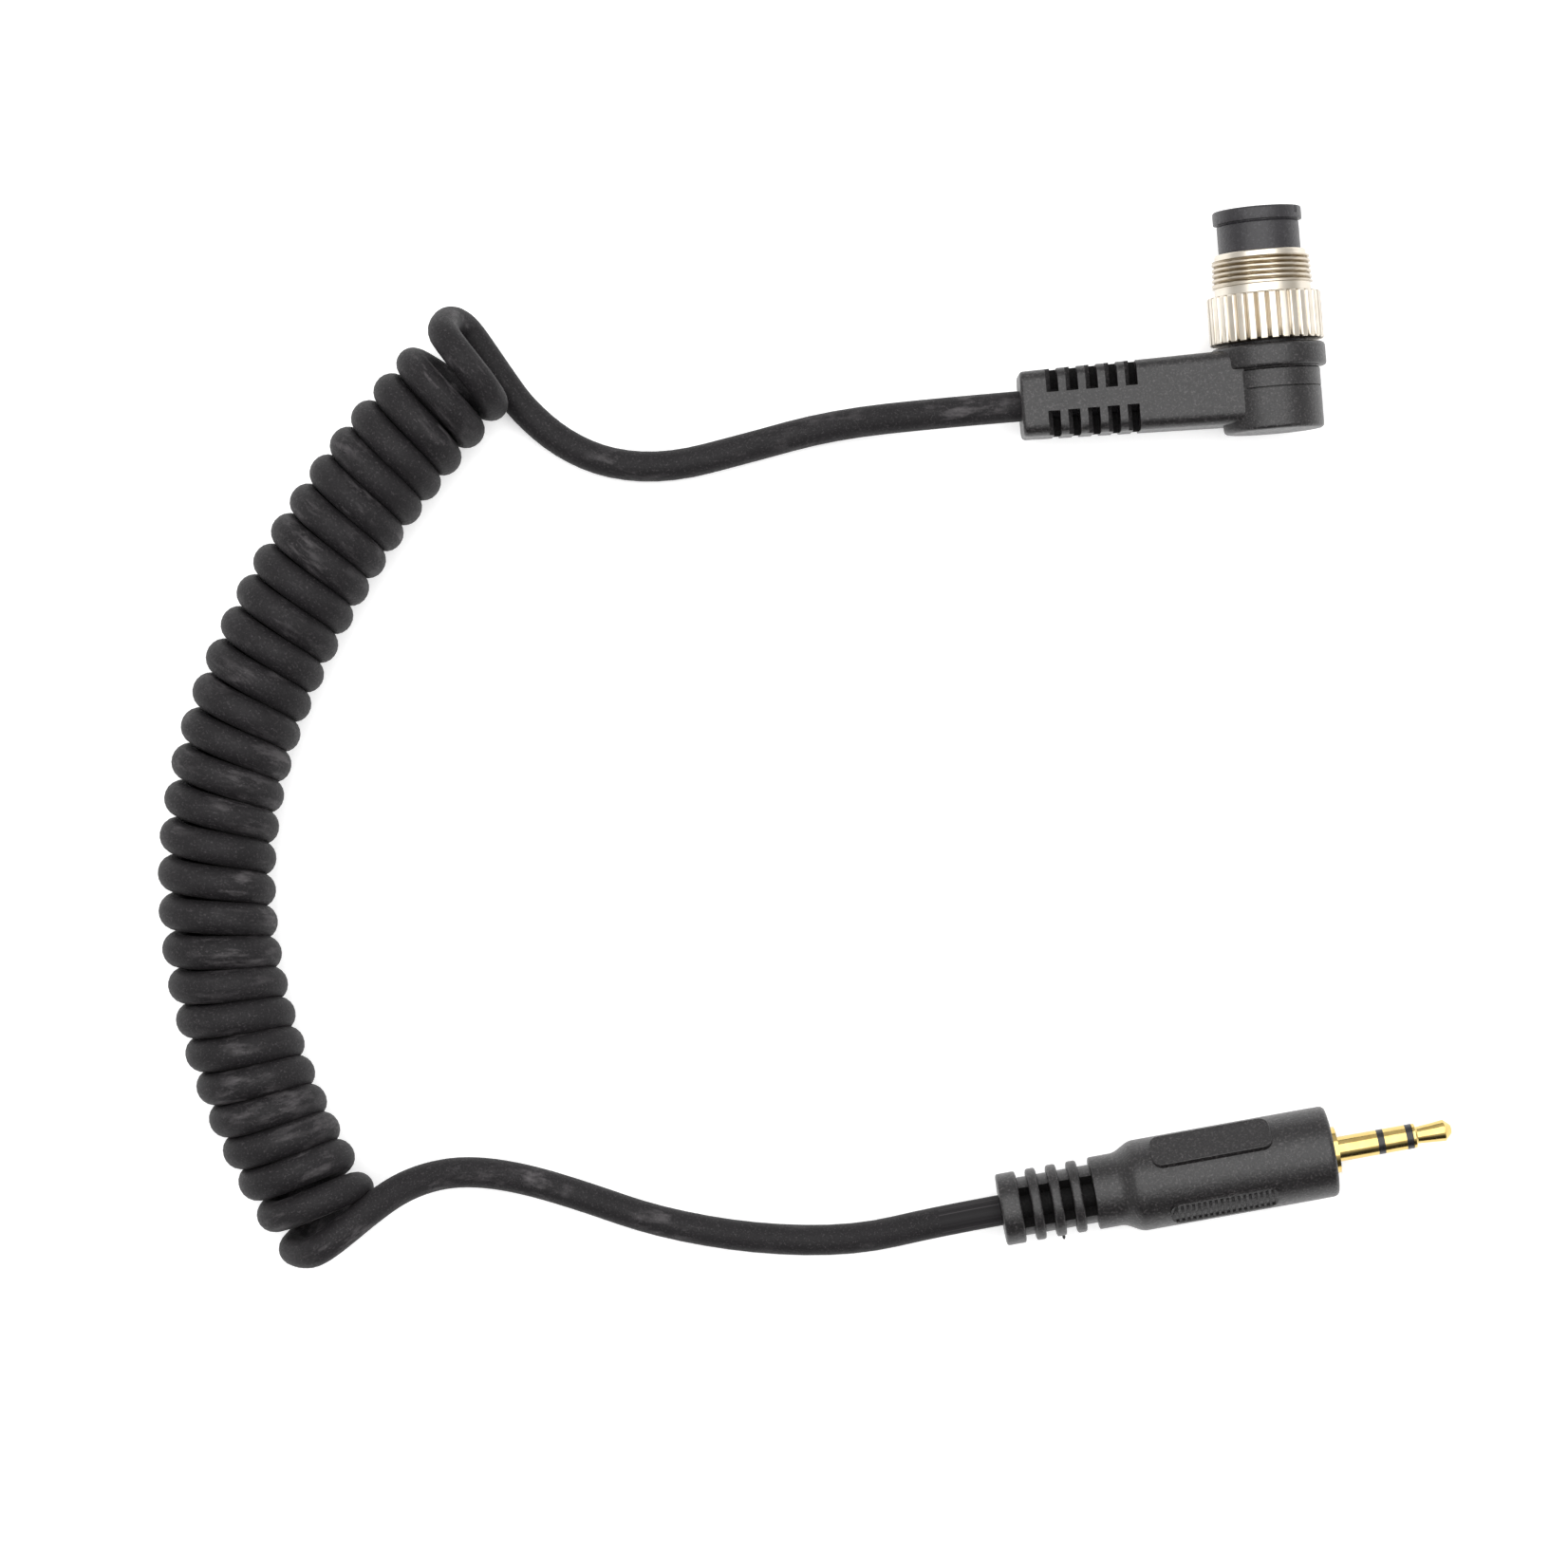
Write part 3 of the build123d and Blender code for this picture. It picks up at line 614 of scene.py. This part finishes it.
NIB_PLACE, NIB_R, NIB_SHAPE = (-27.75, -3.68, 0.1), 0.2, (0.8, 1.5, 0.8, 1)


def relief_radius(angle, radius, along):
    """Between the ridges, windows open above and below down to the core."""
    if radius == RIB_R and abs(math.cos(angle)) < 0.66:
        return CORE_R
    return radius


def jack_outline():
    """Four rounded ridges, neck, S-shaped shoulder, barrel and front face."""
    outline = []
    for start, end in RIDGES:
        outline += [(RIB_R, start), (RIDGE_R - 0.28, start), (RIDGE_R - 0.1, start + 0.05),
                    (RIDGE_R - 0.02, start + 0.15), (RIDGE_R, start + 0.3), (RIDGE_R, end - 0.3),
                    (RIDGE_R - 0.02, end - 0.15), (RIDGE_R - 0.1, end - 0.05), (RIDGE_R - 0.28, end),
                    (RIB_R, end)]
    outline[0] = (1.6, RIDGES[0][0])
    outline += [(RIB_R, NECK_START), (NECK_R - 0.2, NECK_START), (NECK_R - 0.05, NECK_START + 0.06),
                (NECK_R, NECK_START + 0.2)]
    for index in range(SHOULDER_STEPS + 1):
        part = index / SHOULDER_STEPS
        rise = (1 - math.cos(math.pi * part)) / 2
        outline.append((NECK_R + (BARREL_R - NECK_R) * rise,
                        SHOULDER_START + (BARREL_START - SHOULDER_START) * part))
    return outline + [(BARREL_R, -12.0), (BARREL_R, -0.62), (4.52, -0.38), (4.42, -0.18), (4.26, -0.05),
                      (4.05, 0.0), (1.12, 0.0), (1.12, -0.5)]


def on_diagonal(quarter, size):
    """The turn about the jack's axis that brings +Z to one of the barrel's four diagonal faces."""
    return Matrix.Rotation(math.radians(45 + 90 * quarter), size, "X")


def add_pad(pad, height, quarter):
    """A flat pad with round corners on one of the barrel's four diagonal faces."""
    back, front, half_width = pad
    form = bmesh.new()
    add_block(form, (back, -half_width, 2.0), (front, half_width, height))
    upright = [edge for edge in form.edges if abs(edge.verts[0].co.z - edge.verts[1].co.z) > 1]
    bmesh.ops.bevel(form, geom=upright, offset=1.0, offset_type="OFFSET", segments=8, profile=0.5,
                    affect="EDGES", material=-1)
    bmesh.ops.rotate(form, verts=form.verts, matrix=on_diagonal(quarter, 3))
    return bare_mesh(form, "pad")


def rib_cutter(quarter):
    """The grooves between a pad's ribs."""
    back, front, half_width = RIBBED_PAD
    pitch = (front - back) / (PAD_RIBS + 1)
    form = bmesh.new()
    for index in range(PAD_RIBS):
        middle = back + pitch * (index + 1)
        add_block(form, (middle - RIB_GROOVE / 2, RIB_RIM - half_width, RIBBED_PAD_FLAT - RIB_GROOVE_DEPTH),
                  (middle + RIB_GROOVE / 2, half_width - RIB_RIM, RIBBED_PAD_FLAT + 1), on_diagonal(quarter, 4))
    return bare_mesh(form, "rib_grooves")


def is_in_window(face):
    """Faces low in the windows between the ridges."""
    place = (IN_JACK_INVERSE @ face.center) / MM
    beside_ridges = RIDGES[0][0] < place.x < NECK_START
    return beside_ridges and math.hypot(place.y, place.z) < WINDOW_UNDER


def make_jack():
    """The jack's moulding: ridged bend relief, shoulder, barrel, four pads and a moulding nib."""
    form = bmesh.new()
    ends = lathe(form, jack_outline(), 192, relief_radius)
    close_ends(form, *ends)
    bmesh.ops.rotate(form, verts=form.verts, matrix=Matrix.Rotation(-math.pi / 2, 3, "Z"))
    parts = [bare_mesh(form, "barrel")]
    for quarter in range(4):
        if quarter % 2:
            parts.append(softened(add_pad(PLAIN_PAD, PLAIN_PAD_FLAT, quarter), 0.09, 3))
        else:
            ribbed = carved(add_pad(RIBBED_PAD, RIBBED_PAD_FLAT, quarter), rib_cutter(quarter))
            parts.append(softened(ribbed, 0.035, 2))
    nib = bmesh.new()
    bmesh.ops.create_icosphere(nib, subdivisions=2, radius=NIB_R,
                               matrix=Matrix.Translation(NIB_PLACE) @ Matrix.Diagonal(NIB_SHAPE))
    parts.append(bare_mesh(nib, "nib"))
    jack = add_piece("jack_moulding", joined(parts, "jack_moulding", IN_JACK), MATERIALS["moulding"])
    # painted shade: the floors of the windows between the ridges get the nearly black matt vinyl
    give_painted_shade_vinyl(jack, is_in_window)
    even_shading(jack)
    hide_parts("jack_overmould")
    return jack


def make_tip():
    """The tip contact: a step beside the insulator, a waist that widens forwards, and a blunt cone."""
    form = bmesh.new()
    ends = lathe(form, [
        (0.42, 8.1), (1.2, 8.16), (1.25, 8.2), (1.25, 8.44), (1.2, 8.5), (0.92, 8.56), (0.86, 8.64),
        (0.87, 8.9), (0.98, 10.2), (1.09, 11.26), (1.11, 11.34), (1.09, 11.42), (0.5, 12.04),
        (0.42, 12.1), (0.3, 12.1),
    ], 96)
    close_ends(form, *ends)
    bmesh.ops.rotate(form, verts=form.verts, matrix=Matrix.Rotation(-math.pi / 2, 3, "Z"))
    tip = add_piece("tip_contact", joined([bare_mesh(form, "tip")], "tip_contact", IN_JACK, 25),
                    MATERIALS["gold_plate"])
    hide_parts("jack_tip")
    return tip


# ------------------------------------------------------------------ the cord

CORD_R = 0.001525
ON_TABLE = 0.001545
HELIX_R = 0.004375
COIL_AXIS_Z = 0.00592
POINTS_PER_TURN = 16

CAMERA_RUN = [
    (-0.01535, -0.0065, 0.0057),
    (-0.0230, -0.0065, 0.0057),
    (-0.0340, -0.0065, ON_TABLE),
    (-0.0430, -0.0082, ON_TABLE),
    (-0.0505, -0.0095, ON_TABLE),
    (-0.0565, -0.0087, ON_TABLE),
    (-0.0612, -0.0062, ON_TABLE),
    (-0.0648, -0.0025, ON_TABLE),
    (-0.0666, 0.0005, ON_TABLE),
    (-0.0683, 0.0035, ON_TABLE),
    (-0.0697, 0.0059, 0.0017),
    (-0.0707, 0.00675, 0.0030),
    (-0.0715, 0.0067, 0.0045),
]
COIL_AXIS = [
    (-0.0686, 0.0030, COIL_AXIS_Z),
    (-0.0764, -0.0044, COIL_AXIS_Z),
    (-0.0834, -0.0124, COIL_AXIS_Z),
    (-0.0895, -0.0211, COIL_AXIS_Z),
    (-0.0948, -0.0307, COIL_AXIS_Z),
    (-0.0982, -0.0410, COIL_AXIS_Z),
    (-0.0992, -0.0518, COIL_AXIS_Z),
    (-0.0978, -0.0627, COIL_AXIS_Z),
    (-0.0947, -0.0731, COIL_AXIS_Z),
    (-0.0906, -0.0816, COIL_AXIS_Z),
    (-0.0898, -0.0831, COIL_AXIS_Z),
]
# turn number and its distance along the coil's axis, in millimetres: the first and last turns are pulled open
TURN_PLACES = [(0, 0.3), (0.5, 2.75), (1, 4.9), (1.5, 6.35), (2, 8.3), (3, 11.7), (5, 18.2), (9, 31.6),
               (13, 45.2), (17, 58.9), (19, 65.9), (21, 72.6), (24, 82.4), (26, 88.9), (27, 92.4), (28, 96.4)]
JACK_RUN = [
    (-0.0923, -0.0845, 0.0087),
    (-0.0905, -0.0836, 0.0098),
    (-0.0884, -0.0822, 0.0094),
    (-0.0861, -0.0806, 0.0083),
    (-0.0833, -0.07895, 0.0065),
    (-0.0804, -0.0781, 0.0048),
    (-0.0774, -0.0779, 0.0034),
    (-0.0740, -0.0784, 0.0024),
    (-0.0700, -0.0796, 0.0017),
    (-0.0650, -0.0816, ON_TABLE),
    (-0.0580, -0.0847, ON_TABLE),
    (-0.0485, -0.0872, ON_TABLE),
    (-0.0385, -0.0882, ON_TABLE),
]
JACK_LEAD_IN = 0.0065
CORD_SAMPLES = 4                                             # drawn points for each control point
PRESS_FROM, PRESS_FADE = 0.8, 0.7                            # in turns from the coil's ends
PRESS_ALONG, PRESS_ACROSS = 0.09, 0.03


def jack_axis(along):
    """A point on the jack's axis, at a distance from its front face."""
    return JACK_FACE + along * Vector((math.cos(JACK_YAW), math.sin(JACK_YAW), 0))


def smooth_line(points, name, samples):
    """A NURBS line through space with these points as its control points."""
    data = bpy.data.curves.new(name, "CURVE")
    data.dimensions = "3D"
    data.resolution_u = samples
    spline = data.splines.new("NURBS")
    spline.points.add(len(points) - 1)
    for control, point in zip(spline.points, points):
        control.co = (*point, 1.0)
    spline.order_u = 3
    spline.use_endpoint_u = True
    line = bpy.data.objects.new(name, data)
    bpy.context.scene.collection.objects.link(line)
    return line


def read_line(line):
    """The points of a line with no bevel, as Blender draws it."""
    mesh = bpy.data.meshes.new_from_object(line)
    points = [vertex.co.copy() for vertex in mesh.vertices]
    bpy.data.meshes.remove(mesh)
    return points


def along_line(points):
    """A function from a distance along the points to the place and direction there."""
    ends = [0.0]
    for before, after in zip(points, points[1:]):
        ends.append(ends[-1] + (after - before).length)

    def at(distance):
        index = 0
        while index < len(points) - 2 and ends[index + 1] < distance:
            index += 1
        run = points[index + 1] - points[index]
        share = (distance - ends[index]) / run.length
        return points[index] + run * share, run.normalized()

    return at


def turn_distance(turn):
    """How far along the coil's axis a turn number lies, in metres."""
    for (first, start), (second, end) in zip(TURN_PLACES, TURN_PLACES[1:]):
        if turn <= second:
            return (start + (end - start) * (turn - first) / (second - first)) * MM
    return TURN_PLACES[-1][1] * MM


def helix_points():
    """Control points of the coil's turns, left-handed, from its outer side over the top."""
    axis_line = smooth_line(COIL_AXIS, "coil_axis", 12)
    at = along_line(read_line(axis_line))
    bpy.data.objects.remove(axis_line)
    reach = HELIX_R / math.cos(math.pi / POINTS_PER_TURN)
    points = []
    last_turn = TURN_PLACES[-1][0]
    for index in range(1, int(last_turn * POINTS_PER_TURN) + 1):
        turn = index / POINTS_PER_TURN
        centre, ahead = at(turn_distance(turn))
        outward = ahead.cross(Vector((0, 0, 1))).normalized()
        angle = 2 * math.pi * turn
        points.append(centre + outward * (reach * math.cos(angle)) + Vector((0, 0, reach * math.sin(angle))))
    return points


def skin_cord(line):
    """The cord's round skin as a mesh."""
    line.data.bevel_depth = CORD_R
    line.data.bevel_resolution = 8
    line.data.use_fill_caps = True
    mesh = bpy.data.meshes.new_from_object(line)
    mesh.name = "cord"
    return mesh


def mark_strand(mesh, path):
    """Stores each point's distance along the cord and its place in the section, in millimetres."""
    places = mesh.attributes.new("strand", "FLOAT_VECTOR", "POINT")
    ring = len(mesh.vertices) // len(path)
    distance = 0.0
    values = []
    for index, vertex in enumerate(mesh.vertices):
        row = index // ring
        if index % ring == 0 and 0 < row < len(path):
            distance += (path[row] - path[row - 1]).length / MM
        angle = 2 * math.pi * (index % ring) / ring
        values += [distance, CORD_R / MM * math.cos(angle), CORD_R / MM * math.sin(angle)]
    places.data.foreach_set("vector", values)
    return ring


def press_strands(mesh, path, ring):
    """Presses the coil's strands against each other: wider along the coil's axis, flatter across it."""
    first = len(CAMERA_RUN) * CORD_SAMPLES
    turn_steps = POINTS_PER_TURN * CORD_SAMPLES
    coil_steps = TURN_PLACES[-1][0] * turn_steps
    for row in range(len(path)):
        step = min(row - first, first + coil_steps - row)
        press = min(1.0, max(0.0, (step / turn_steps - PRESS_FROM) / PRESS_FADE))
        if press == 0.0:
            continue
        before = path[max(0, row - turn_steps)]
        after = path[min(len(path) - 1, row + turn_steps)]
        axis = (after - before).normalized()
        for vertex in mesh.vertices[row * ring:(row + 1) * ring]:
            offset = vertex.co - path[row]
            beside = axis * offset.dot(axis)
            vertex.co = (path[row] + (offset - beside) * (1 - PRESS_ACROSS * press)
                         + beside * (1 + PRESS_ALONG * press))


def make_cord(jack, tip):
    """One cord from the camera plug, through the coil, to the jack."""
    points = [Vector(point) for point in CAMERA_RUN] + helix_points() + [Vector(point) for point in JACK_RUN]
    points += [jack_axis(JACK_BACK - JACK_LEAD_IN), jack_axis(JACK_BACK)]
    line = smooth_line(points, "cord_line", CORD_SAMPLES)
    path = read_line(line)
    mesh = skin_cord(line)
    bpy.data.objects.remove(line)
    ring = mark_strand(mesh, path)
    press_strands(mesh, path, ring)
    for face in mesh.polygons:
        face.use_smooth = True
    cord = add_piece("cord", mesh, MATERIALS["cord_jacket"])
    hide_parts("cord_camera_end", "cord_coil", "cord_jack_end")
    ends = [name for name in frame["nodes"] if name.startswith("jack_") or name.endswith("_terminal")]
    ends = [name for name in ends if name not in ("jack_overmould", "jack_tip")] + ["cord_end_in_jack"]
    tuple(CAMERA_RUN[0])


# ------------------------------------------------------------------ the making

make_camera()
make_cord(make_jack(), make_tip())
make_elbow()
make_insert()
make_lock_ring()
for row in frame["record"]["subparts"]:
    node = frame["nodes"][row["node"]]
    node.data.materials.clear()
    node.data.materials.append(MATERIALS[row["material_slot"]])
make_stage()
make_light()
